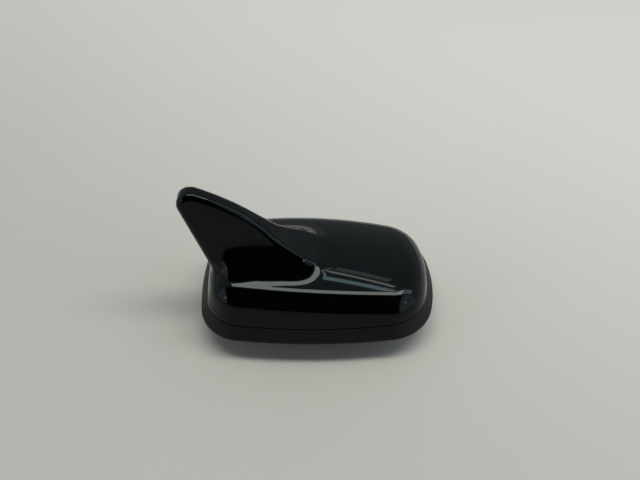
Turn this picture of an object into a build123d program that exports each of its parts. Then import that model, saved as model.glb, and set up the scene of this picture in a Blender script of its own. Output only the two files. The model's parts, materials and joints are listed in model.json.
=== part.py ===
from build123d import *
import math
import os

# Roof aerial in millimetres: X forward, Z up, origin on the stem's axis in the plane of the roof skin

# Foot: the outline that the cover, the seal and the base plate share
cover_length = 99.0
cover_width = 60.0
side_bow = 4.0
front_bow = 7.0
rear_bow = 3.6
front_corner = 19.0
rear_corner = 16.0

# Cover
wall = 2.0
draft = 13.0
shadow_gap = 0.7
crown_height = 24.6
crown_x = -22.0
crown_across = 78.0
crown_along = 330.0
shoulder_round = 12.0
tongue_wall = 1.0
boss_radius = 3.5
boss_x = 29.0
boss_y = 17.0

# Fin: a thin blade that widens downwards and rearwards
fin_top = 59.7
fin_foot_x = -3.0
fin_foot_z = 19.5
foot_slope = 1.1
heel_x = -45.2
heel_z = 17.7
trailing_lean = 19.2
tip_round = 6.0
fin_half = 3.8
fin_half_x = -24.7
fin_half_z = 43.2
fin_draft = 6.0
fin_toe = 4.9
blade_root_z = 10.0
blade_front_x = 6.0
blade_rear_x = -65.0
blade_least_half = 0.4
fin_edge_round = 3.0
root_round = 9.0
# Leading edge between the tip and the foot, as shares of its run and of its drop
sweep_shares = ((0.157, 0.075), (0.401, 0.259), (0.605, 0.473), (0.793, 0.726))

# Roof seal
seal_flare = 3.0
seal_height = 6.0
seal_edge = 0.8
seal_ledge = 0.2
seal_lip = 2.0
seal_lip_inset = 5.5
seal_groove_depth = 0.8
seal_groove_inset = 3.5
seal_rib = 2.5
seal_fit = 0.1

# Base plate and its stem
plate_thickness = 2.5
rim_gap = 0.6
rim_wall = 1.4
rim_height = 3.0
pad_height = 2.5
pad_radius = 4.5
stem_radius = 11.0
stem_bore = 9.0
stem_length = 12.0
stem_flat = 10.0
stem_collar_radius = 12.0
stem_pad_radius = 17.0
stem_pad_height = 1.0
rib_width = 2.5
rib_clearance = 0.5
gasket_thickness = 0.6

# Fasteners
screw_radius = 1.5
screw_length = 9.0
head_radius = 2.8
head_height = 1.8
hex_across = 1.2
hole_clearance = 0.15
head_clearance = 0.2
hole_end_room = 0.5
small_screw_radius = 1.0
small_screw_length = 4.6
small_head_radius = 1.9
small_head_height = 1.3
small_hex_across = 0.8

# Main board and what it carries
board_length = 66.0
board_width = 26.0
board_thickness = 1.6
board_x = -7.0
board_corner = 2.0
board_hole_inset = 2.5
post_height = 3.5
post_radius = 2.4
patch_size = 25.0
patch_height = 4.0
patch_clearance = 1.1
patch_edge = 0.6
patch_pad_size = 24.0
patch_pad_height = 0.6
feed_clearance = 0.4
feed_radius = 0.5
feed_head_radius = 1.2
feed_head_height = 0.3
feed_tail = 1.2
element_thickness = 0.8
element_gap = 1.2
element_front_x = -10.0
holder_length = 24.0
holder_width = 7.0
holder_height = 8.0
holder_floor = 1.0
holder_end_gap = 4.0
can_length = 18.0
can_width = 14.0
can_height = 2.4
can_sheet = 0.3
can_corner = 1.5
can_end_gap = 8.0
chip_size = 3.0
chip_height = 1.0
filter_size = 3.8
filter_height = 1.4
chip_spacing = 7.0

# Sockets in the stem
socket_pitch = 8.8
socket_bore = 3.5
socket_wall = 0.9
socket_recess = 1.0
socket_depth = 9.0
socket_flange_radius = 10.5
socket_flange_height = 1.6
shell_radius = 2.4
shell_length = 4.5
shell_flange = 0.8
insulator_radius = 1.9
insulator_setback = 0.5
contact_radius = 0.5
contact_setback = 0.5
contact_cover = 0.2
running_gap = 0.1

# Earth ring round the stem
ring_gap = 0.2
ring_radius = 15.5
ring_thickness = 0.5
tooth_count = 12
tooth_radius = 0.9
tooth_tip = 0.3

# Heights that follow from the stack
seam_height = seal_height + shadow_gap
plate_top = seal_lip + plate_thickness
tongue_bottom = plate_top + gasket_thickness
pad_top = plate_top + pad_height
head_seat = seal_lip + head_height + head_clearance
board_bottom = plate_top + post_height
board_top = board_bottom + board_thickness
patch_bottom = board_top + patch_pad_height
patch_top = patch_bottom + patch_height
socket_mouth = socket_recess - stem_length
socket_floor = socket_mouth + socket_depth
tongue_inset = wall - tongue_wall
draft_slope = math.tan(math.radians(draft))
trailing_slope = math.tan(math.radians(trailing_lean))
fin_draft_slope = math.tan(math.radians(fin_draft))
fin_toe_slope = math.tan(math.radians(fin_toe))
blade_top = fin_top + wall
blade_spare = fin_half - wall - blade_least_half + (fin_half_z - blade_top) * fin_draft_slope
blade_nose_x = fin_half_x + blade_spare / fin_toe_slope
shell_end = socket_floor - shell_length
board_front = board_x + board_length / 2
board_rear = board_x - board_length / 2
patch_front = board_front - board_hole_inset - small_head_radius - patch_clearance
patch_x = patch_front - patch_size / 2
feed_x = socket_flange_radius + feed_clearance + feed_radius
holder_x = board_rear + holder_end_gap + holder_length / 2
can_x = board_rear + can_end_gap + can_length / 2
boss_hole_depth = head_seat + screw_length + hole_end_room - pad_top

boss_places = GridLocations(2 * boss_x, 2 * boss_y, 2, 2)
board_plane = Plane.XY.offset(board_bottom)
hole_places = GridLocations(
    board_length - 2 * board_hole_inset, board_width - 2 * board_hole_inset, 2, 2
)
board_holes = [Location((board_x, 0)) * place for place in hole_places]
socket_places = GridLocations(socket_pitch, 0, 2, 1)


def plan(inset):
    """Face of the foot's outline drawn in by an inset: four shallow arcs with round corners."""
    end = cover_length / 2 - inset
    side = cover_width / 2 - inset
    front = end - front_bow
    rear = rear_bow - end
    corner = side - side_bow
    with BuildSketch() as outline:
        with BuildLine():
            ThreePointArc((front, corner), (0, side), (rear, corner))
            ThreePointArc((rear, corner), (-end, 0), (rear, -corner))
            ThreePointArc((rear, -corner), (0, -side), (front, -corner))
            ThreePointArc((front, -corner), (end, 0), (front, corner))
        make_face()
        fillet(outline.vertices().group_by(Axis.X)[0], rear_corner - inset)
        fillet(outline.vertices().group_by(Axis.X)[-1], front_corner - inset)
    return outline.sketch


def dome(inset):
    """Low body of the cover: drafted walls under a crown that curves both ways."""
    top = crown_height - inset
    axis_z = crown_height - crown_across
    over = crown_height + wall
    end_z = top - cover_length**2 / (2 * crown_along)
    with BuildPart() as body:
        with BuildSketch(Plane.XY.offset(seam_height)):
            add(plan(inset))
        with BuildSketch(Plane.XY.offset(over)):
            add(plan(inset + (over - seam_height) * draft_slope))
        loft(ruled=True)
        with BuildSketch(Plane.XZ):
            with BuildLine():
                crest = ThreePointArc(
                    (crown_x - cover_length, end_z), (crown_x, top), (crown_x + cover_length, end_z)
                )
                Polyline(
                    crest @ 1,
                    (crown_x + cover_length, axis_z),
                    (crown_x - cover_length, axis_z),
                    crest @ 0,
                )
            make_face()
        revolve(axis=Axis((0, 0, axis_z), (1, 0, 0)), mode=Mode.INTERSECT)
        fillet(body.faces().sort_by(Axis.Z)[-1].edges(), shoulder_round - inset)
    return body.part


def fin_side(inset):
    """Face of the fin seen from the side, drawn in: straight trailing edge, round tip, swept nose."""
    slant = math.radians(trailing_lean)
    top = fin_top - inset
    bend = tip_round - inset
    heel = heel_x + inset / math.cos(slant)
    rear_z = top - bend * (1 + math.sin(slant))
    rear_top = (heel - trailing_slope * (rear_z - heel_z), rear_z)
    rear_foot = (heel - trailing_slope * (blade_root_z - heel_z), blade_root_z)
    tip = (rear_top[0] + bend * math.cos(slant), top)
    foot = (fin_foot_x - inset * math.hypot(1, foot_slope) / foot_slope, fin_foot_z)
    run = fin_foot_x - tip[0]
    rise = fin_top - fin_foot_z
    nose = [(tip[0] + along * run, fin_top - down * rise) for along, down in sweep_shares]
    chain = [(tip[0], fin_top), *nose, (fin_foot_x, fin_foot_z)]
    drawn_in = []
    for before, point, after in zip(chain, nose, chain[2:]):
        chord = Vector(after) - Vector(before)
        inward = Vector(chord.Y, -chord.X).normalized()
        drawn_in.append(Vector(point) + inward * inset)
    with BuildSketch() as side:
        with BuildLine():
            trailing = Line(rear_foot, rear_top)
            TangentArc(rear_top, tip, tangent=trailing % 1)
            Spline(tip, *drawn_in, foot, tangents=[(1, 0), (1, -foot_slope)])
            Polyline(foot, (foot[0], blade_root_z), rear_foot)
        make_face()
    return side.sketch


def blade_plan(height, front_x, inset):
    """Plan of the fin's blade at a height, drawn in, with sides that close towards the front."""
    middle = fin_half - inset + (fin_half_z - height) * fin_draft_slope
    nose_half = middle + (fin_half_x - front_x) * fin_toe_slope
    tail_half = middle + (fin_half_x - blade_rear_x) * fin_toe_slope
    with BuildSketch() as section:
        with BuildLine():
            Polyline(
                (front_x, nose_half),
                (blade_rear_x, tail_half),
                (blade_rear_x, -tail_half),
                (front_x, -nose_half),
                close=True,
            )
        make_face()
    return section.sketch


def blade(inset):
    """The fin drawn in by an inset, with sharp edges."""
    with BuildPart() as body:
        with BuildSketch(Plane.XY.offset(blade_root_z)):
            add(blade_plan(blade_root_z, blade_front_x, inset))
        with BuildSketch(Plane.XY.offset(blade_top)):
            add(blade_plan(blade_top, blade_nose_x, inset))
        loft(ruled=True)
        with BuildSketch(Plane.XZ.offset(-cover_width / 2)):
            add(fin_side(inset))
        extrude(amount=cover_width, mode=Mode.INTERSECT)
    return body.part


# Cover: one moulding, dome and fin in one skin, hollow, with a tongue and four screw bosses
with BuildPart() as fin_blade:
    add(blade(0))
    upper_edges = fin_blade.edges().filter_by(lambda edge: edge.bounding_box().max.Z > crown_height)
    fillet(upper_edges.filter_by(Axis.Y, reverse=True), fin_edge_round)

with BuildPart() as skin:
    low_body = dome(0)
    add(low_body)
    add(fin_blade.part)
    fillet(new_edges(low_body, fin_blade.part, combined=skin.part), root_round)

with BuildPart() as core:
    add(dome(wall))
    add(blade(wall))
    with BuildSketch(Plane.XY.offset(tongue_bottom)):
        add(plan(wall))
    extrude(amount=seam_height - tongue_bottom)

with BuildPart() as bosses:
    with BuildSketch(Plane.XY.offset(pad_top)):
        with boss_places:
            Circle(boss_radius)
            Circle(screw_radius, mode=Mode.SUBTRACT)
    extrude(amount=boss_hole_depth)
    with BuildSketch(Plane.XY.offset(pad_top + boss_hole_depth)):
        with boss_places:
            Circle(boss_radius)
    extrude(amount=crown_height - pad_top - boss_hole_depth)
    add(dome(wall / 2), mode=Mode.INTERSECT)

with BuildPart() as fin_cover:
    add(skin.part)
    with BuildSketch(Plane.XY.offset(tongue_bottom)):
        add(plan(tongue_inset))
    extrude(amount=seam_height - tongue_bottom)
    add(core.part, mode=Mode.SUBTRACT)
    add(bosses.part)

# Roof seal: a rubber skirt with two lips on the roof and a pocket for the plate's edge
with BuildPart() as roof_seal:
    with BuildSketch():
        add(plan(-seal_flare))
    extrude(amount=seal_edge)
    with BuildSketch(Plane.XY.offset(seal_edge)):
        add(plan(-seal_flare))
    with BuildSketch(Plane.XY.offset(seal_height)):
        add(plan(-seal_ledge))
    loft(ruled=True)
    with BuildSketch(Plane.XY.offset(seal_lip)):
        add(plan(tongue_inset - seal_fit))
    extrude(amount=seal_height, mode=Mode.SUBTRACT)
    with BuildSketch():
        add(plan(seal_lip_inset))
    extrude(amount=seal_height, mode=Mode.SUBTRACT)
    with BuildSketch():
        add(plan(seal_rib - seal_flare))
        add(plan(seal_groove_inset), mode=Mode.SUBTRACT)
    extrude(amount=seal_groove_depth, mode=Mode.SUBTRACT)

# Base plate: a casting with a rim inside the cover, screw pads, board posts and the hollow stem
with BuildPart() as base_plate:
    with BuildSketch(Plane.XY.offset(seal_lip)):
        add(plan(tongue_inset))
    extrude(amount=plate_thickness)
    with BuildSketch(Plane.XY.offset(plate_top)):
        add(plan(wall + rim_gap))
        add(plan(wall + rim_gap + rim_wall), mode=Mode.SUBTRACT)
    extrude(amount=rim_height)
    with BuildSketch(Plane.XY.offset(plate_top)):
        with boss_places:
            Circle(pad_radius)
    extrude(amount=pad_height)
    with BuildSketch(Plane.XY.offset(plate_top)):
        with Locations(*board_holes):
            Circle(post_radius)
    extrude(amount=post_height)
    with BuildSketch(Plane.XY.offset(seal_lip)):
        Circle(stem_pad_radius)
    extrude(amount=-stem_pad_height)
    with BuildSketch(Plane.XY.offset(seal_lip)):
        Rectangle(cover_length, rib_width)
        Rectangle(rib_width, cover_width)
        add(plan(seal_lip_inset + rib_clearance), mode=Mode.INTERSECT)
    extrude(amount=-stem_pad_height)
    with BuildSketch(Plane.XY.offset(-stem_length)):
        Circle(stem_radius)
        with Locations((-stem_flat, 0)):
            Rectangle(stem_radius, 2 * stem_radius, align=(Align.MAX, Align.CENTER), mode=Mode.SUBTRACT)
    extrude(amount=stem_length + seal_lip)
    with BuildSketch(Plane.XY):
        Circle(stem_collar_radius)
    extrude(amount=seal_lip)
    with BuildSketch(Plane.XY.offset(-stem_length)):
        Circle(stem_bore)
    extrude(amount=stem_length + plate_top, mode=Mode.SUBTRACT)
    with BuildSketch(Plane.XY.offset(seal_lip)):
        with boss_places:
            Circle(head_radius + head_clearance)
    extrude(amount=head_seat - seal_lip, mode=Mode.SUBTRACT)
    with BuildSketch(Plane.XY.offset(seal_lip)):
        with boss_places:
            Circle(screw_radius + hole_clearance)
    extrude(amount=pad_top - seal_lip, mode=Mode.SUBTRACT)
    with BuildSketch(Plane.XY.offset(board_bottom)):
        with Locations(*board_holes):
            Circle(small_screw_radius)
    extrude(amount=-post_height, mode=Mode.SUBTRACT)

# Cover gasket: a flat ring between the plate and the cover's tongue
with BuildPart() as cover_gasket:
    with BuildSketch(Plane.XY.offset(plate_top)):
        add(plan(tongue_inset))
        add(plan(wall + rim_gap - running_gap), mode=Mode.SUBTRACT)
    extrude(amount=gasket_thickness)

# Cover screws: driven up through the plate into the cover's bosses
with BuildPart() as cover_screws:
    with BuildSketch(Plane.XY.offset(head_seat)):
        with boss_places:
            Circle(head_radius)
    extrude(amount=-head_height)
    with BuildSketch(Plane.XY.offset(head_seat)):
        with boss_places:
            Circle(screw_radius)
    extrude(amount=screw_length)
    with BuildSketch(Plane.XY.offset(head_seat - head_height)):
        with boss_places:
            RegularPolygon(hex_across, 6)
    extrude(amount=head_height / 2, mode=Mode.SUBTRACT)

# Main board
with BuildPart() as main_board:
    with BuildSketch(board_plane):
        with Locations((board_x, 0)):
            RectangleRounded(board_length, board_width, board_corner)
        with Locations(*board_holes):
            Circle(small_screw_radius + hole_clearance, mode=Mode.SUBTRACT)
        with Locations((feed_x, 0)):
            Circle(feed_radius + running_gap, mode=Mode.SUBTRACT)
        with socket_places:
            Circle(contact_radius + running_gap, mode=Mode.SUBTRACT)
    extrude(amount=board_thickness)

# Board screws
with BuildPart() as board_screws:
    with BuildSketch(Plane.XY.offset(board_top)):
        with Locations(*board_holes):
            Circle(small_head_radius)
    extrude(amount=small_head_height)
    with BuildSketch(Plane.XY.offset(board_top)):
        with Locations(*board_holes):
            Circle(small_screw_radius)
    extrude(amount=-small_screw_length)
    with BuildSketch(Plane.XY.offset(board_top + small_head_height)):
        with Locations(*board_holes):
            RegularPolygon(small_hex_across, 6)
    extrude(amount=-small_head_height / 2, mode=Mode.SUBTRACT)

# Satellite patch: adhesive pad, ceramic tile and feed pin
with BuildPart() as patch_pad:
    with BuildSketch(Plane.XY.offset(board_top)):
        with Locations((patch_x, 0)):
            Rectangle(patch_pad_size, patch_pad_size)
        with Locations((feed_x, 0)):
            Circle(feed_radius + running_gap, mode=Mode.SUBTRACT)
    extrude(amount=patch_pad_height)

with BuildPart() as patch_antenna:
    with BuildSketch(Plane.XY.offset(patch_bottom)):
        with Locations((patch_x, 0)):
            Rectangle(patch_size, patch_size)
    extrude(amount=patch_height)
    chamfer(patch_antenna.faces().sort_by(Axis.Z)[-1].edges(), patch_edge)
    with BuildSketch(Plane.XY.offset(patch_bottom)):
        with Locations((feed_x, 0)):
            Circle(feed_radius + running_gap)
    extrude(amount=patch_height, mode=Mode.SUBTRACT)

with BuildPart() as patch_pin:
    with BuildSketch(Plane.XY.offset(board_bottom - feed_tail)):
        with Locations((feed_x, 0)):
            Circle(feed_radius)
    extrude(amount=patch_top - board_bottom + feed_tail)
    with BuildSketch(Plane.XY.offset(patch_top)):
        with Locations((feed_x, 0)):
            Circle(feed_head_radius)
    extrude(amount=feed_head_height)

# Telephone element: a thin board that stands inside the fin
with BuildPart() as phone_element:
    with BuildSketch(Plane.XZ.offset(-element_thickness / 2)):
        add(fin_side(wall + element_gap))
        with Locations((element_front_x, board_top + holder_floor)):
            Rectangle(
                cover_length, fin_top, align=(Align.MAX, Align.MIN), mode=Mode.INTERSECT
            )
    extrude(amount=element_thickness)

# Holder: a plastic channel on the board that grips the element's foot
with BuildPart() as element_holder:
    with BuildSketch(Plane.XY.offset(board_top)):
        with Locations((holder_x, 0)):
            RectangleRounded(holder_length, holder_width, board_corner)
    extrude(amount=holder_height)
    with BuildSketch(Plane.XY.offset(board_top + holder_floor)):
        with Locations((holder_x, 0)):
            Rectangle(holder_length, element_thickness)
    extrude(amount=holder_height, mode=Mode.SUBTRACT)

# Shield can under the board, over the amplifier and its filter
with BuildPart() as shield_can:
    with BuildSketch(board_plane):
        with Locations((can_x, 0)):
            RectangleRounded(can_length, can_width, can_corner)
    extrude(amount=-can_height)
    offset(amount=-can_sheet, openings=shield_can.faces().sort_by(Axis.Z)[-1])

with BuildPart() as amplifier_chip:
    with BuildSketch(board_plane):
        with Locations((can_x - chip_spacing / 2, 0)):
            Rectangle(chip_size, chip_size)
    extrude(amount=-chip_height)

with BuildPart() as saw_filter:
    with BuildSketch(board_plane):
        with Locations((can_x + chip_spacing / 2, 0)):
            Rectangle(filter_size, filter_size)
    extrude(amount=-filter_height)

# Socket block: twin coaxial housing that hangs from the board through the stem
with BuildPart() as socket_block:
    with BuildSketch(Plane.XY.offset(socket_mouth)):
        SlotCenterToCenter(socket_pitch, 2 * (socket_bore + socket_wall))
    extrude(amount=board_bottom - socket_mouth)
    with BuildSketch(Plane.XY.offset(plate_top)):
        Circle(socket_flange_radius)
    extrude(amount=socket_flange_height)
    with BuildSketch(Plane.XY.offset(socket_mouth)):
        with socket_places:
            Circle(socket_bore)
    extrude(amount=socket_depth, mode=Mode.SUBTRACT)
    with BuildSketch(Plane.XY.offset(socket_floor)):
        with socket_places:
            Circle(insulator_radius)
    extrude(amount=board_bottom - socket_floor, mode=Mode.SUBTRACT)


def socket_shell(x):
    """Sprung metal sleeve of one socket, on the socket's floor."""
    with BuildPart() as piece:
        with BuildSketch(Plane.XY.offset(socket_floor)):
            with Locations((x, 0)):
                Circle(shell_radius)
        extrude(amount=-shell_length)
        with BuildSketch(Plane.XY.offset(socket_floor)):
            with Locations((x, 0)):
                Circle(socket_bore - running_gap)
        extrude(amount=-shell_flange)
        with BuildSketch(Plane.XY.offset(socket_floor)):
            with Locations((x, 0)):
                Circle(insulator_radius)
        extrude(amount=-shell_length, mode=Mode.SUBTRACT)
    return piece.part


def socket_insulator(x):
    """Plastic core of one socket, from inside the sleeve up to the board."""
    with BuildPart() as piece:
        with BuildSketch(Plane.XY.offset(shell_end + insulator_setback)):
            with Locations((x, 0)):
                Circle(insulator_radius)
                Circle(contact_radius, mode=Mode.SUBTRACT)
        extrude(amount=board_bottom - shell_end - insulator_setback)
    return piece.part


def socket_pin(x):
    """Centre contact of one socket, soldered into the board."""
    with BuildPart() as piece:
        with BuildSketch(Plane.XY.offset(shell_end + insulator_setback + contact_setback)):
            with Locations((x, 0)):
                Circle(contact_radius)
        extrude(amount=board_top - contact_cover - shell_end - insulator_setback - contact_setback)
    return piece.part


with BuildPart() as phone_shell:
    add(socket_shell(-socket_pitch / 2))

with BuildPart() as satellite_shell:
    add(socket_shell(socket_pitch / 2))

with BuildPart() as phone_insulator:
    add(socket_insulator(-socket_pitch / 2))

with BuildPart() as satellite_insulator:
    add(socket_insulator(socket_pitch / 2))

with BuildPart() as phone_contact:
    add(socket_pin(-socket_pitch / 2))

with BuildPart() as satellite_contact:
    add(socket_pin(socket_pitch / 2))

# Earth ring: a toothed washer that bites the roof skin round the stem
with BuildPart() as earth_ring:
    ring_bottom = seal_lip - stem_pad_height - ring_thickness
    with BuildSketch(Plane.XY.offset(ring_bottom)):
        Circle(ring_radius)
        Circle(stem_collar_radius + ring_gap, mode=Mode.SUBTRACT)
    extrude(amount=ring_thickness)
    with Locations((0, 0, ring_bottom)):
        with PolarLocations((ring_radius + stem_collar_radius + ring_gap) / 2, tooth_count):
            Cone(tooth_tip, tooth_radius, ring_bottom, align=(Align.CENTER, Align.CENTER, Align.MAX))

os.makedirs("parts", exist_ok=True)
pieces = {
    "fin_cover": fin_cover,
    "roof_seal": roof_seal,
    "base_plate": base_plate,
    "cover_gasket": cover_gasket,
    "cover_screws": cover_screws,
    "main_board": main_board,
    "board_screws": board_screws,
    "patch_pad": patch_pad,
    "patch_antenna": patch_antenna,
    "patch_pin": patch_pin,
    "phone_element": phone_element,
    "element_holder": element_holder,
    "shield_can": shield_can,
    "amplifier_chip": amplifier_chip,
    "saw_filter": saw_filter,
    "socket_block": socket_block,
    "phone_shell": phone_shell,
    "satellite_shell": satellite_shell,
    "phone_insulator": phone_insulator,
    "satellite_insulator": satellite_insulator,
    "phone_contact": phone_contact,
    "satellite_contact": satellite_contact,
    "earth_ring": earth_ring,
}
for name, piece in pieces.items():
    piece.part.label = name
    export_step(piece.part, f"parts/{name}.step")
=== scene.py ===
import json
import math

import bmesh
import bpy
import numpy as np
from mathutils import Matrix, Vector


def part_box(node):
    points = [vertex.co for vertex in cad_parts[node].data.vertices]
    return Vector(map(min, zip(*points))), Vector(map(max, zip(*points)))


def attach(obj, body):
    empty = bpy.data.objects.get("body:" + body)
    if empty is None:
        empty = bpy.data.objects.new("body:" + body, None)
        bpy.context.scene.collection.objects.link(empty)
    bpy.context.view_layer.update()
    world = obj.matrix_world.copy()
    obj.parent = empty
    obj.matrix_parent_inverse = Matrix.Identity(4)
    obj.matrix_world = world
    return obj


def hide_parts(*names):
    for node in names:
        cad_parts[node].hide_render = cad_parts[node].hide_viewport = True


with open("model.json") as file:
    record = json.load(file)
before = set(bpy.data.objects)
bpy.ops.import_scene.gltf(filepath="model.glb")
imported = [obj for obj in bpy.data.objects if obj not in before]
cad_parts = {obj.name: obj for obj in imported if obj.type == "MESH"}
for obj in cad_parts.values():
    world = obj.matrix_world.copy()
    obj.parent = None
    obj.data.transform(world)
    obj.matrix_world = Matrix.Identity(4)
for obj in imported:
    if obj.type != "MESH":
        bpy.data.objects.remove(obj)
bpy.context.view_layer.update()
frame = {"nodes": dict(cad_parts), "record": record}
nodes = frame["nodes"]
scene = bpy.context.scene
scene.view_settings.view_transform = "Standard"

FLOOR_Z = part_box("base_plate")[0][2]


# Shader helpers


def new_tree(name):
    """A material with an empty node tree and its output node."""
    made = bpy.data.materials.new(name)
    made.use_nodes = True
    tree = made.node_tree
    tree.nodes.clear()
    return made, tree, tree.nodes.new("ShaderNodeOutputMaterial")


def add(tree, kind, inputs=None, **settings):
    """A node with its settings, and with each named input set to a value or linked to a socket."""
    node = tree.nodes.new("ShaderNode" + kind)
    for key, value in settings.items():
        setattr(node, key, value)
    for key, value in (inputs or {}).items():
        socket = node.inputs[key]
        if isinstance(value, bpy.types.NodeSocket):
            tree.links.new(value, socket)
        else:
            socket.default_value = value
    return node


def place(tree):
    """The row frame's coordinates in metres."""
    return add(tree, "TexCoord").outputs["Object"]


def noise(tree, coords, size, detail=2.0, roughness=0.5):
    """Noise from 0 to 1 whose blotches are about size metres across."""
    made = add(
        tree,
        "TexNoise",
        {"Vector": coords, "Scale": 1.0 / size, "Detail": detail, "Roughness": roughness},
    )
    return made.outputs["Fac"]


def spread(tree, value, low, high, start=0.0, end=1.0, smooth=False):
    """value from start..end mapped to low..high, held at both ends."""
    made = add(
        tree,
        "MapRange",
        {"Value": value, "From Min": start, "From Max": end, "To Min": low, "To Max": high},
        interpolation_type="SMOOTHSTEP" if smooth else "LINEAR",
    )
    return made.outputs["Result"]


def math_node(tree, operation, a, b=0.5):
    """One scalar operation."""
    return add(tree, "Math", {0: a, 1: b}, operation=operation).outputs[0]


def ramp(tree, value, low, high):
    """A colour between low and high."""
    made = add(tree, "Mix", {"Factor": value}, data_type="RGBA")
    for index, colour in ((6, low), (7, high)):
        if isinstance(colour, bpy.types.NodeSocket):
            tree.links.new(colour, made.inputs[index])
        else:
            made.inputs[index].default_value = (*colour, 1.0)
    return made.outputs[2]


def specks(tree, coords, size, share, radius):
    """Mask of small round specks: one cell in some of a scatter of cells about size metres apart."""
    cells = add(tree, "TexVoronoi", {"Vector": coords, "Scale": 1.0 / size, "Randomness": 1.0})
    near = spread(tree, cells.outputs["Distance"], 1.0, 0.0, 0.4 * radius / size, radius / size)
    tone = add(tree, "SeparateColor", {"Color": cells.outputs["Color"]}).outputs["Red"]
    chosen = math_node(tree, "GREATER_THAN", tone, 1.0 - share)
    return math_node(tree, "MULTIPLY", near, chosen)


def bump(tree, height, distance, strength=1.0):
    """Surface normal of a height map that is distance metres deep."""
    made = add(tree, "Bump", {"Height": height, "Distance": distance, "Strength": strength})
    return made.outputs["Normal"]


def surface(tree, output, **inputs):
    """The surface shader, with each input set by its socket's name."""
    named = {key.replace("_", " "): value for key, value in inputs.items()}
    made = add(tree, "BsdfPrincipled", named)
    tree.links.new(made.outputs["BSDF"], output.inputs["Surface"])
    return made


# Materials, one for each slot


def cover_gloss():
    """Black lacquer with a faint peel and a little dust."""
    made, tree, output = new_tree("cover_gloss")
    at = place(tree)
    tone = noise(tree, at, 0.012, 3.0)
    dust = math_node(
        tree,
        "MAXIMUM",
        specks(tree, at, 0.0022, 0.10, 0.00022),
        specks(tree, at, 0.0008, 0.06, 0.00009),
    )
    base = ramp(tree, tone, (0.0005, 0.0007, 0.0009), (0.0011, 0.0013, 0.0016))
    base = ramp(tree, math_node(tree, "MULTIPLY", dust, 0.16), base, (0.20, 0.20, 0.19))
    rough = spread(tree, noise(tree, at, 0.004, 4.0), 0.03, 0.055)
    rough = math_node(tree, "ADD", rough, math_node(tree, "MULTIPLY", dust, 0.2))
    peel = noise(tree, at, 0.0011, 1.0)
    surface(
        tree,
        output,
        Base_Color=base,
        Roughness=rough,
        Specular_IOR_Level=0.2,
        Specular_Tint=(0.84, 0.95, 1.0, 1.0),
        Normal=bump(tree, peel, 0.0000004),
    )
    return made


def seal_rubber():
    """Matte rubber with a fine grain and a little dust."""
    made, tree, output = new_tree("seal_rubber")
    at = place(tree)
    tone = math_node(tree, "MULTIPLY", noise(tree, at, 0.006, 4.0), noise(tree, at, 0.0012, 3.0))
    tone = spread(tree, tone, 0.0, 1.0, 0.1, 0.45)
    base = ramp(tree, tone, (0.0028, 0.0033, 0.0042), (0.0062, 0.0068, 0.0078))
    dust = specks(tree, at, 0.0016, 0.10, 0.00016)
    base = ramp(tree, math_node(tree, "MULTIPLY", dust, 0.25), base, (0.16, 0.16, 0.155))
    grain = noise(tree, at, 0.00035, 3.0)
    surface(
        tree,
        output,
        Base_Color=base,
        Roughness=spread(tree, noise(tree, at, 0.003, 3.0), 0.46, 0.62),
        Specular_IOR_Level=0.24,
        Normal=bump(tree, grain, 0.00002, 0.5),
    )
    return made


def metal(name, low, high, rough, grain, depth, brushed):
    """Bare metal between two colours, with a grain that is grain metres across and depth metres deep."""
    made, tree, output = new_tree(name)
    at = place(tree)
    if brushed:
        at = add(tree, "Mapping", {"Vector": at, "Scale": (0.08, 1.0, 1.0)}).outputs["Vector"]
    marks = noise(tree, at, grain, 4.0, 0.6)
    stain = noise(tree, at, grain * 14, 3.0)
    surface(
        tree,
        output,
        Base_Color=ramp(tree, stain, low, high),
        Metallic=1.0,
        Roughness=spread(tree, marks, rough[0], rough[1]),
        Normal=bump(tree, marks, depth, 0.6),
    )
    return made


def plastic(name, low, high, rough, grain, depth, level):
    """Moulded plastic, board, foam or ceramic between two colours, with a fine grain as in metal()."""
    made, tree, output = new_tree(name)
    at = place(tree)
    marks = noise(tree, at, grain, 3.0)
    surface(
        tree,
        output,
        Base_Color=ramp(tree, noise(tree, at, grain * 9, 4.0), low, high),
        Roughness=spread(tree, marks, rough[0], rough[1]),
        Specular_IOR_Level=level,
        Normal=bump(tree, marks, depth, 0.5),
    )
    return made


# Slot: low colour, high colour, roughness range, grain, depth of the grain, brushed or not
METALS = {
    "base_casting": ((0.50, 0.51, 0.52), (0.60, 0.61, 0.62), (0.38, 0.55), 0.0004, 0.00003, False),
    "screw_steel": ((0.55, 0.55, 0.53), (0.66, 0.66, 0.67), (0.22, 0.36), 0.0003, 0.00001, False),
    "contact_brass": ((0.68, 0.50, 0.20), (0.78, 0.60, 0.30), (0.18, 0.3), 0.0002, 0.00001, False),
    "tin_plate": ((0.62, 0.62, 0.61), (0.76, 0.76, 0.75), (0.15, 0.3), 0.0003, 0.00001, True),
    "socket_nickel": ((0.68, 0.66, 0.62), (0.80, 0.78, 0.74), (0.14, 0.24), 0.0002, 0.00001, False),
    "ring_steel": ((0.54, 0.54, 0.55), (0.64, 0.64, 0.65), (0.25, 0.4), 0.0003, 0.00001, True),
}
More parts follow.
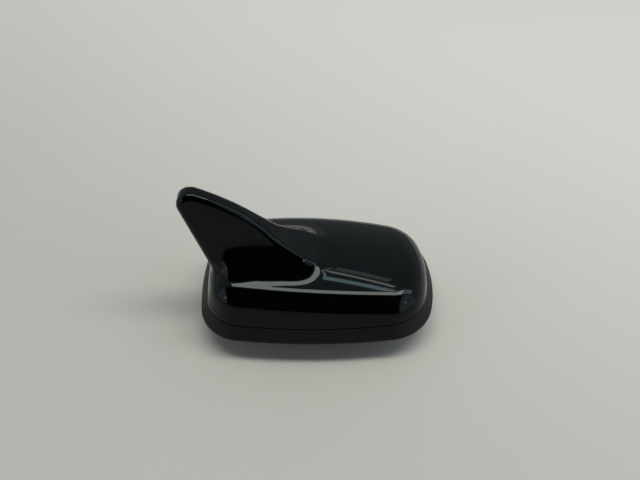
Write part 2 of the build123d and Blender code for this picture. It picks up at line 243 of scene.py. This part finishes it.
# Slot: low colour, high colour, roughness range, grain, depth of the grain, specular level
PLASTICS = {
    "gasket_foam": ((0.06, 0.06, 0.065), (0.1, 0.1, 0.105), (0.8, 0.95), 0.0003, 0.00003, 0.2),
    "board_laminate": ((0.018, 0.12, 0.05), (0.035, 0.18, 0.08), (0.3, 0.42), 0.0006, 0.00001, 0.5),
    "pad_adhesive": ((0.44, 0.44, 0.42), (0.54, 0.54, 0.52), (0.7, 0.9), 0.0003, 0.00002, 0.3),
    "patch_ceramic": ((0.55, 0.52, 0.45), (0.64, 0.61, 0.54), (0.4, 0.55), 0.0003, 0.00001, 0.5),
    "holder_plastic": ((0.60, 0.60, 0.57), (0.70, 0.70, 0.67), (0.45, 0.6), 0.0003, 0.00001, 0.5),
    "chip_resin": ((0.022, 0.022, 0.024), (0.036, 0.036, 0.038), (0.5, 0.65), 0.0002, 0.00001, 0.5),
    "socket_plastic": ((0.03, 0.03, 0.033), (0.048, 0.048, 0.051), (0.42, 0.56), 0.0004, 0.00001, 0.5),
    "insulator_plastic": ((0.74, 0.74, 0.72), (0.84, 0.84, 0.82), (0.4, 0.5), 0.0003, 0.00001, 0.5),
}
materials = {"cover_gloss": cover_gloss(), "seal_rubber": seal_rubber()}
materials.update({slot: metal(slot, *look) for slot, look in METALS.items()})
materials.update({slot: plastic(slot, *look) for slot, look in PLASTICS.items()})

slots = {part["node"]: part["material_slot"] for part in frame["record"]["subparts"]}
for name, node in nodes.items():
    node.data.materials.clear()
    node.data.materials.append(materials[slots[name]])


# Cover skin: the cover's outer surface from its own rules in millimetres, with the root fillet at full size

MM_PER_M = 1000
SEAM = 6.7

# Foot: its outline at the seam, the draft of its wall, the crown and the shoulder between them
FOOT_LENGTH, FOOT_WIDTH = 99.0, 60.0
SIDE_BOW, FRONT_BOW, REAR_BOW = 4.0, 7.0, 3.6
FRONT_CORNER, REAR_CORNER = 19.0, 16.0
FOOT_DRAFT = math.radians(13.0)
CROWN_TOP, CROWN_X, CROWN_ACROSS, CROWN_ALONG = 24.6, -22.0, 78.0, 330.0
SHOULDER_ROUND = 12.0

# Fin: its profile, then the half width at one point, the draft and toe of its sides, and its edge
FIN_TOP, HEEL_X, HEEL_Z, LEAN = 59.7, -45.2, 17.7, math.radians(19.2)
TIP_ROUND, SWEEP_ROUND, SWEEP_TURN = 6.0, 89.0, 0.41
FIN_HALF, FIN_HALF_X, FIN_HALF_Z = 3.8, -24.7, 43.2
FIN_DRAFT, FIN_TOE, FIN_EDGE = math.tan(math.radians(7.75)), math.tan(math.radians(4.9)), 3.0

# Nose: how far the sides widen forwards, and the keel line that carries the ridge down to the crown
FLARE, FLARE_FROM, FLARE_TO = 5.93, -30.5, 0.2
KEEL_X, KEEL_Z, KEEL_SLOPE, KEEL_ROUND, KEEL_BACK = -15.2, 33.2, 0.544, 28.0, -35.0

# Root: the radius of the ball rolled between fin and crown, at the sides, the nose and the tail
ROOT_ROUND, NOSE_ROUND, NOSE_FROM, NOSE_TO = 19.7, 17.5, -28.0, 4.0
TAIL_ROUND, TAIL_FROM, TAIL_TO = 6.0, -36.0, -49.0

# Solver: rounds and bounds of the searches, and the longest edge of the mesh
SIDE_ROUNDS, BALL_ROUNDS, FREE_ROUNDS, SETTLE_ROUNDS = 6, 25, 2, 14
ROOT_SINK, BALL_LEAP, BALL_SLACK, SETTLE_LEAP = 6.0, 12.0, 0.05, 2.0
NORMAL_STEP, MEND_ROUNDS, MEND_BELOW = 0.02, 4, 0.985
GRAIN, HALVINGS = 1.3, 7
FAR, TINY = 99.0, 1e-12


def dot(a, b):
    """Dot products of two rows of vectors."""
    return np.sum(a * b, axis=-1)


def unit(v):
    """Vectors brought to length one."""
    return v / (np.linalg.norm(v, axis=-1, keepdims=True) + TINY)


def pick(mask, a, b):
    """Vectors of a where the mask holds, of b elsewhere."""
    return np.where(mask[:, None], a, b)


def ease(t):
    """A step from 0 to 1 with no kink in its curvature."""
    t = np.clip(t, 0.0, 1.0)
    return t * t * t * (t * (6.0 * t - 15.0) + 10.0)


def ease_slope(t):
    """Slope of ease, for t from 0 to 1."""
    return 30 * (t * (1 - t)) ** 2


def rounded(a, na, b, nb, r):
    """Inside both of two surfaces, with the outer edge between them rounded. Gives distance and normal."""
    u, v = a + r, b + r
    c = np.clip(dot(na, nb), -0.999, 0.999)
    edge = (u > v * c) & (v > u * c)
    reach = np.sqrt(np.maximum(u * u + v * v - 2 * u * v * c, 0.0) / (1 - c * c))
    normal = unit((u - v * c)[:, None] * na + (v - u * c)[:, None] * nb)
    return np.where(edge, reach - r, np.maximum(a, b)), pick(edge, normal, pick(a > b, na, nb))


def filled(a, na, b, nb, r):
    """Inside either of two surfaces, with the inner corner between them filled. Gives distance and normal."""
    d, n = rounded(-a, -na, -b, -nb, r)
    return -d, -n


def arc(x, y, cx, cy, r):
    """Distance and direction from a circle."""
    dx, dy = x - cx, y - cy
    d = np.hypot(dx, dy) + TINY
    return d - r, dx / d, dy / d


def crossing(x0, y0, r0, x1, y1, r1, ahead):
    """The crossing of two circles that lies further ahead, or further back."""
    dx, dy = x1 - x0, y1 - y0
    d = np.hypot(dx, dy)
    a = (r0**2 - r1**2 + d**2) / (2 * d)
    h = np.sqrt(np.maximum(r0**2 - a**2, 0.0)) / d
    way = np.where((dy < 0) == ahead, 1.0, -1.0)
    return x0 + a * dx / d - way * dy * h, y0 + a * dy / d + way * dx * h


def wall_field(p):
    """Drafted wall: the foot's outline of bowed sides, bowed ends and round corners, inset with height."""
    inset = (p[:, 2] - SEAM) * math.tan(FOOT_DRAFT)
    x, y = p[:, 0], np.abs(p[:, 1])
    end, side = FOOT_LENGTH / 2 - inset, FOOT_WIDTH / 2 - inset
    ahead, astern, corner = end - FRONT_BOW, end - REAR_BOW, side - SIDE_BOW
    # Circle through (ahead, corner), (0, side) and (-astern, corner)
    sx = (ahead - astern) / 2
    sy = side - (SIDE_BOW**2 + ahead * astern) / (2 * SIDE_BOW)
    sr = np.hypot(sx, side - sy)
    fr = (corner**2 + FRONT_BOW**2) / (2 * FRONT_BOW)
    rr = (corner**2 + REAR_BOW**2) / (2 * REAR_BOW)
    fx, rx = end - fr, rr - end
    fc, rc = FRONT_CORNER - inset, REAR_CORNER - inset
    best = arc(x, y, sx, sy, sr)
    for cx, r, there in ((fx, fr, x > fx), (rx, rr, x < rx)):
        other = arc(x, y, cx, 0.0, r)
        take = (other[0] > best[0]) & there
        best = [np.where(take, o, b) for o, b in zip(other, best)]
    for ox, r, c, forward in ((fx, fr, fc, True), (rx, rr, rc, False)):
        cx, cy = crossing(sx, sy, sr - c, ox, 0.0, r - c, forward)
        ux, uy, vx, vy, dx, dy = cx - ox, cy, cx - sx, cy - sy, x - cx, y - cy
        turn = np.where(ux * vy - uy * vx > 0, 1.0, -1.0)
        take = ((ux * dy - uy * dx) * turn > 0) & ((dx * vy - dy * vx) * turn > 0)
        best = [np.where(take, o, b) for o, b in zip(arc(x, y, cx, cy, c), best)]
    flat, nx, ny = best
    lean, rise = math.cos(FOOT_DRAFT), math.sin(FOOT_DRAFT)
    normal = np.stack([nx * lean, np.copysign(ny * lean, p[:, 1]), np.full_like(flat, rise)], -1)
    return flat * lean, normal


def crown_field(p):
    """Crown: a crest arc along X, turned about an axis along X below it."""
    sag = FOOT_LENGTH**2 / (2 * CROWN_ALONG)
    crest = (FOOT_LENGTH**2 + sag**2) / (2 * sag)
    dz = p[:, 2] - CROWN_TOP + CROWN_ACROSS
    rho = np.hypot(p[:, 1], dz) + TINY
    dx, dr = p[:, 0] - CROWN_X, rho - CROWN_ACROSS + crest
    d = np.hypot(dx, dr)
    return d - crest, np.stack([dx / d, dr / d * p[:, 1] / rho, dr / d * dz / rho], -1)


def dome_field(p):
    """Foot without the fin: the wall and the crown with a round shoulder between them."""
    return rounded(*wall_field(p), *crown_field(p), SHOULDER_ROUND)


def fin_field(p):
    """Fin: two drafted sides and its profile, which is a trailing line, a tip arc, a swept arc and a keel."""
    x, y, z = p.T
    foot = x
    span = FLARE_TO - FLARE_FROM
    for _ in range(SIDE_ROUNDS):
        t = np.clip((foot - FLARE_FROM) / span, 0.0, 1.0)
        half = FIN_HALF + (FIN_HALF_X - foot) * FIN_TOE + (FIN_HALF_Z - z) * FIN_DRAFT + FLARE * ease(t)
        slope = FLARE * ease_slope(t) / span - FIN_TOE
        scale = 1 / np.sqrt(1 + slope**2 + FIN_DRAFT**2)
        side = (np.abs(y) - half - (x - foot) * slope) * scale
        foot = x + side * slope * scale
    side_n = np.stack([-slope * scale, np.copysign(scale, y), FIN_DRAFT * scale], -1)

    c, s = math.cos(LEAN), math.sin(LEAN)
    tip_z = FIN_TOP - TIP_ROUND
    tip_x = HEEL_X - math.tan(LEAN) * (tip_z - TIP_ROUND * s - HEEL_Z) + TIP_ROUND * c
    ux, uz = math.sin(SWEEP_TURN), math.cos(SWEEP_TURN)
    reach = TIP_ROUND - SWEEP_ROUND
    trail = -(x - HEEL_X) * c - (z - HEEL_Z) * s
    swept, swept_x, swept_z = arc(x, z, tip_x + reach * ux, tip_z + reach * uz, SWEEP_ROUND)
    tip, tip_nx, tip_nz = arc(x, z, tip_x, tip_z, TIP_ROUND)
    on_sweep = swept_x * uz > swept_z * ux
    on_tip = (c * (z - tip_z) > s * (x - tip_x)) & (uz * (x - tip_x) < ux * (z - tip_z))
    rear = ~on_tip & ~(on_sweep & (swept >= trail))
    edge = np.where(on_tip, tip, np.where(rear, trail, swept))
    edge_x = np.where(on_tip, tip_nx, np.where(rear, -c, swept_x))
    edge_z = np.where(on_tip, tip_nz, np.where(rear, -s, swept_z))
    edge_n = np.stack([edge_x, np.zeros_like(x), edge_z], -1)

    level = 1 / math.hypot(1.0, KEEL_SLOPE)
    keel = np.where(x > KEEL_BACK, (z - KEEL_Z + KEEL_SLOPE * (x - KEEL_X)) * level, FAR)
    keel_n = pick(trail > keel, np.array([[-c, 0.0, -s]]), np.array([[KEEL_SLOPE * level, 0.0, level]]))
    edge, edge_n = filled(edge, edge_n, np.maximum(trail, keel), keel_n, KEEL_ROUND)
    return rounded(side, side_n, edge, edge_n, FIN_EDGE)


def root_radius(x):
    """Radius of the rolled ball along the part."""
    nose = (NOSE_ROUND - ROOT_ROUND) * ease((x - NOSE_FROM) / (NOSE_TO - NOSE_FROM))
    tail = (TAIL_ROUND - ROOT_ROUND) * ease((TAIL_FROM - x) / (TAIL_FROM - TAIL_TO))
    return ROOT_ROUND + nose + tail


def ball_state(ball):
    """Distance and normal of dome and fin at a ball's centre, its radius and the cosine of the normals."""
    d, dn = dome_field(ball)
    f, fn = fin_field(ball)
    return d, dn, f, fn, root_radius(ball[:, 0]), np.clip(dot(dn, fn), -0.98, 0.98)


def skin_field(p):
    """Dome and fin together, with the corner between them filled as far as a rolled ball leaves it."""
    d, dn = dome_field(p)
    f, fn = fin_field(p)
    gap, normal = np.minimum(d, f), pick(d < f, dn, fn)
    reach = root_radius(p[:, 0])
    near = (d < reach) & (f < reach) & (d > -ROOT_SINK) & (f > -ROOT_SINK)
    q = p[near]
    ball = q.copy()
    for done in range(BALL_ROUNDS):
        d, dn, f, fn, r, c = ball_state(ball)
        dd, df = r - d, r - f
        step = ((dd - c * df) / (1 - c * c))[:, None] * dn + ((df - c * dd) / (1 - c * c))[:, None] * fn
        # The last rounds only bring the ball to touch, without holding it level with its point
        if done < BALL_ROUNDS - FREE_ROUNDS:
            along = unit(np.cross(dn, fn))
            step += dot(q - ball, along)[:, None] * along
        length = np.linalg.norm(step, axis=-1, keepdims=True) + 1e-9
        ball += step * np.minimum(1.0, BALL_LEAP / length)
    d, dn, f, fn, r, c = ball_state(ball)
    way = ball - q
    to_d, to_f = dot(way, dn), dot(way, fn)
    touching = (np.abs(d - r) < BALL_SLACK) & (np.abs(f - r) < BALL_SLACK)
    held = (to_d > c * to_f) & (to_f > c * to_d) & touching
    gap[near] = np.where(held, r - np.linalg.norm(way, axis=-1), gap[near])
    normal[near] = pick(held, unit(way), normal[near])
    return gap, normal


def settle(mesh):
    """Moves the vertices of a mesh in metres on to the skin, and returns the skin's normals there."""
    p = np.array([v.co for v in mesh.verts]) * MM_PER_M
    rim = np.array([v.is_boundary for v in mesh.verts])
    for _ in range(SETTLE_ROUNDS):
        gap, normal = skin_field(p)
        p -= np.clip(gap, -SETTLE_LEAP, SETTLE_LEAP)[:, None] * normal
        p[rim, 2] = SEAM
    for vertex, at in zip(mesh.verts, p / MM_PER_M):
        vertex.co = at
    step = NORMAL_STEP * np.eye(3)
    normal = unit(np.stack([skin_field(p + s)[0] - skin_field(p - s)[0] for s in step], -1))
    # A normal far from the mean of its neighbours is a stray, and takes that mean
    mesh.verts.index_update()
    a, b = np.array([[v.index for v in edge.verts] for edge in mesh.edges]).T
    for _ in range(MEND_ROUNDS):
        around = np.zeros_like(normal)
        np.add.at(around, a, normal[b])
        np.add.at(around, b, normal[a])
        around = unit(around)
        normal = pick(dot(around, normal) < MEND_BELOW, around, normal)
    return normal


def refine(mesh, limit):
    """Halves edges until none is longer than limit metres, or the rounds run out."""
    for _ in range(HALVINGS):
        long = [edge for edge in mesh.edges if edge.calc_length() > limit]
        if not long:
            break
        bmesh.ops.subdivide_edges(mesh, edges=long, cuts=1)
        bmesh.ops.triangulate(mesh, faces=mesh.faces)


def outer_faces(mesh):
    """The faces that reach above the seam and join on to the topmost point."""
    top = max(mesh.verts, key=lambda v: v.co.z)
    found, todo = set(), [top.link_faces[0]]
    while todo:
        face = todo.pop()
        if face not in found and max(v.co.z for v in face.verts) > SEAM / MM_PER_M + 1e-5:
            found.add(face)
            todo.extend(other for edge in face.edges for other in edge.link_faces)
    return found


def points_and_faces(mesh):
    """Vertices of a mesh, and its faces as lists of their numbers."""
    mesh.verts.index_update()
    return [v.co[:] for v in mesh.verts], [[v.index for v in face.verts] for face in mesh.faces]


def cover_skin():
    """The cover with its outer surface made again from the rules above, and its inside as in the solid."""
    outside = bmesh.new()
    outside.from_mesh(nodes["fin_cover"].data)
    bmesh.ops.remove_doubles(outside, verts=outside.verts, dist=1e-6)
    kept = outer_faces(outside)
    inside = outside.copy()
    index = [face.index for face in kept]
    inside.faces.ensure_lookup_table()
    bmesh.ops.delete(inside, geom=[inside.faces[i] for i in index], context="FACES")
    bmesh.ops.delete(outside, geom=[face for face in outside.faces if face not in kept], context="FACES")
    refine(outside, GRAIN / MM_PER_M)
    settle(outside)
    refine(outside, GRAIN / MM_PER_M)
    normals = settle(outside)

    verts, faces = points_and_faces(outside)
    start, outer_count = len(verts), len(faces)
    inner_verts, inner_faces = points_and_faces(inside)
    verts += inner_verts
    faces += [[start + i for i in face] for face in inner_faces]
    made = bpy.data.meshes.new("cover_skin")
    made.from_pydata(verts, [], faces)
    made.polygons.foreach_set("use_smooth", [True] * len(faces))
    loops = []
    for polygon in made.polygons:
        for vertex in polygon.vertices:
            loops.append(normals[vertex] if polygon.index < outer_count else polygon.normal)
    made.normals_split_custom_set([tuple(n) for n in loops])
    made.materials.append(materials["cover_gloss"])
    piece = bpy.data.objects.new("cover_skin", made)
    scene.collection.objects.link(piece)
    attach(piece, "root")
    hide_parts("fin_cover")
    return piece


cover_skin()


# Floor: a pale table top


def table_top():
    """Pale mottled table top, with painted light and shade in its colour: paler towards the far right, darker
    towards the near left.
    """
    made, tree, output = new_tree("table_top")
    at = place(tree)
    mottle = noise(tree, at, 0.05, 4.0)
    where = add(tree, "SeparateXYZ", {"Vector": at})
    # Painted light and shade: the colour grows paler towards the far right and darker towards the near side,
    # standing in for the lamps' fall-off and the shade on the camera's side.
    across = math_node(tree, "MULTIPLY", where.outputs["X"], 0.55)
    far = spread(tree, math_node(tree, "ADD", across, where.outputs["Y"]), 0.0, 1.0, -0.1, 0.3, True)
    base = ramp(tree, far, (0.505, 0.502, 0.492), (0.71, 0.707, 0.694))
    base = ramp(tree, math_node(tree, "MULTIPLY", mottle, 0.06), base, (0.8, 0.8, 0.78))
    surface(tree, output, Base_Color=base, Roughness=spread(tree, mottle, 0.5, 0.6), Specular_IOR_Level=0.2)
    return made


FLOOR_HALF = 3.0
corners = [(x * FLOOR_HALF, y * FLOOR_HALF, FLOOR_Z) for x, y in ((-1, -1), (1, -1), (1, 1), (-1, 1))]
floor_mesh = bpy.data.meshes.new("table")
floor_mesh.from_pydata(corners, [], [(0, 1, 2, 3)])
floor_mesh.materials.append(table_top())
floor = bpy.data.objects.new("table", floor_mesh)
scene.collection.objects.link(floor)


# Light: a long lamp overhead, narrow ones beyond it, one at each side, and a room dark on the camera's side


def lamp(name, start, end, width, radiance, colour):
    """A flat lamp from start to end that faces the object. Its radiance is what a mirror would show."""
    start, end = Vector(start), Vector(end)
    length = (end - start).length
    data = bpy.data.lights.new(name, "AREA")
    data.shape = "RECTANGLE"
    data.size = length
    data.size_y = width
    data.energy = radiance * math.pi * width * length
    data.color = colour
    made = bpy.data.objects.new(name, data)
    scene.collection.objects.link(made)
    centre = (start + end) / 2
    back = centre.normalized()
    across = end - start
    across = (across - back * across.dot(back)).normalized()
    turn = Matrix((across, back.cross(across), back)).transposed()
    made.matrix_world = Matrix.Translation(centre) @ turn.to_4x4()
    return made


# Name: start, end, width, radiance, colour
LAMP_Z, STRIP_Y, STRIP_END_X = 1.2, 0.031, 0.8
WHITE = (1.0, 1.0, 1.0)
LAMPS = {
    "strip": ((-0.57, STRIP_Y, LAMP_Z), (STRIP_END_X, STRIP_Y, LAMP_Z), 0.24, 8.6, (1.0, 0.99, 0.84)),
    "strip_end": ((STRIP_END_X, STRIP_Y, LAMP_Z), (1.7, STRIP_Y, LAMP_Z), 0.252, 2.8, (0.88, 0.96, 1.0)),
    "teal": ((0.17, 0.395, LAMP_Z), (0.53, 0.24, LAMP_Z), 0.055, 5.2, (0.66, 0.97, 1.0)),
    "cream": ((0.19, 0.53, LAMP_Z), (0.53, 0.335, LAMP_Z), 0.03, 5.6, (1.0, 0.93, 0.78)),
    "plum": ((0.23, 0.60, LAMP_Z), (0.51, 0.45, LAMP_Z), 0.06, 1.4, (1.0, 0.95, 0.95)),
    "left": ((-1.2, -0.82, 0.5), (-1.2, -0.68, 0.5), 0.2, 3.4, WHITE),
    "right": ((1.2, -0.66, 0.67), (1.2, -0.54, 0.67), 0.16, 2.4, WHITE),
}
for name, setting in LAMPS.items():
    lamp(name, *setting)


def room():
    """World light: a grey room, dark on the camera's side, with a pale panel at each side of the dark."""
    world = bpy.data.worlds.new("room")
    world.use_nodes = True
    tree = world.node_tree
    tree.nodes.clear()
    output = tree.nodes.new("ShaderNodeOutputWorld")
    towards = add(tree, "SeparateXYZ", {"Vector": add(tree, "TexCoord").outputs["Generated"]})
    ahead = spread(tree, towards.outputs["Y"], 1.0, 0.0, -0.14, -0.06, True)
    side = math_node(tree, "MULTIPLY", towards.outputs["X"], -0.84)
    side = math_node(tree, "MAXIMUM", towards.outputs["X"], side)
    beside = spread(tree, side, 0.0, 1.0, 0.6, 0.68, True)
    horizon = spread(tree, towards.outputs["Z"], 1.0, 0.0, 0.05, 0.25, True)
    behind = spread(tree, towards.outputs["Y"], 0.0, 1.0, 0.3, 0.7, True)
    front = ramp(tree, beside, (0.012, 0.012, 0.014), (0.85, 0.92, 1.0))
    back = ramp(tree, math_node(tree, "MULTIPLY", horizon, behind), (0.45, 0.485, 0.5), (0.3, 0.31, 0.31))
    colour = ramp(tree, ahead, back, front)
    light = add(tree, "Background", {"Color": colour, "Strength": 1.0})
    tree.links.new(light.outputs["Background"], output.inputs["Surface"])
    return world


scene.world = room()


# Camera, fitted to the photograph: its place about the origin, the origin's offset from its axis, its lens

AZIMUTH, ELEVATION, ROLL = (math.radians(a) for a in (0.016, 46.653, -0.184))
DISTANCE, OFF_X, OFF_Y = 0.35807, -0.001147, -0.020866
SENSOR, FOCAL_PIXELS, PHOTO_WIDTH = 36.0, 780.0, 640.0

back = Vector(
    (
        math.sin(AZIMUTH) * math.cos(ELEVATION),
        -math.cos(AZIMUTH) * math.cos(ELEVATION),
        math.sin(ELEVATION),
    )
)
right = Vector((math.cos(AZIMUTH), math.sin(AZIMUTH), 0.0))
up = back.cross(right)
roll_cos, roll_sin = math.cos(ROLL), math.sin(ROLL)
right, up = roll_cos * right + roll_sin * up, roll_cos * up - roll_sin * right
camera_data = bpy.data.cameras.new("camera")
camera_data.sensor_fit = "HORIZONTAL"
camera_data.sensor_width = SENSOR
camera_data.lens = SENSOR * (FOCAL_PIXELS / PHOTO_WIDTH)
camera_data.clip_start = 0.01
camera_data.clip_end = 50.0
camera = bpy.data.objects.new("camera", camera_data)
scene.collection.objects.link(camera)
turn = Matrix((right, up, back)).transposed()
eye = -OFF_X * right - OFF_Y * up + DISTANCE * back
camera.matrix_world = Matrix.Translation(eye) @ turn.to_4x4()
scene.camera = camera
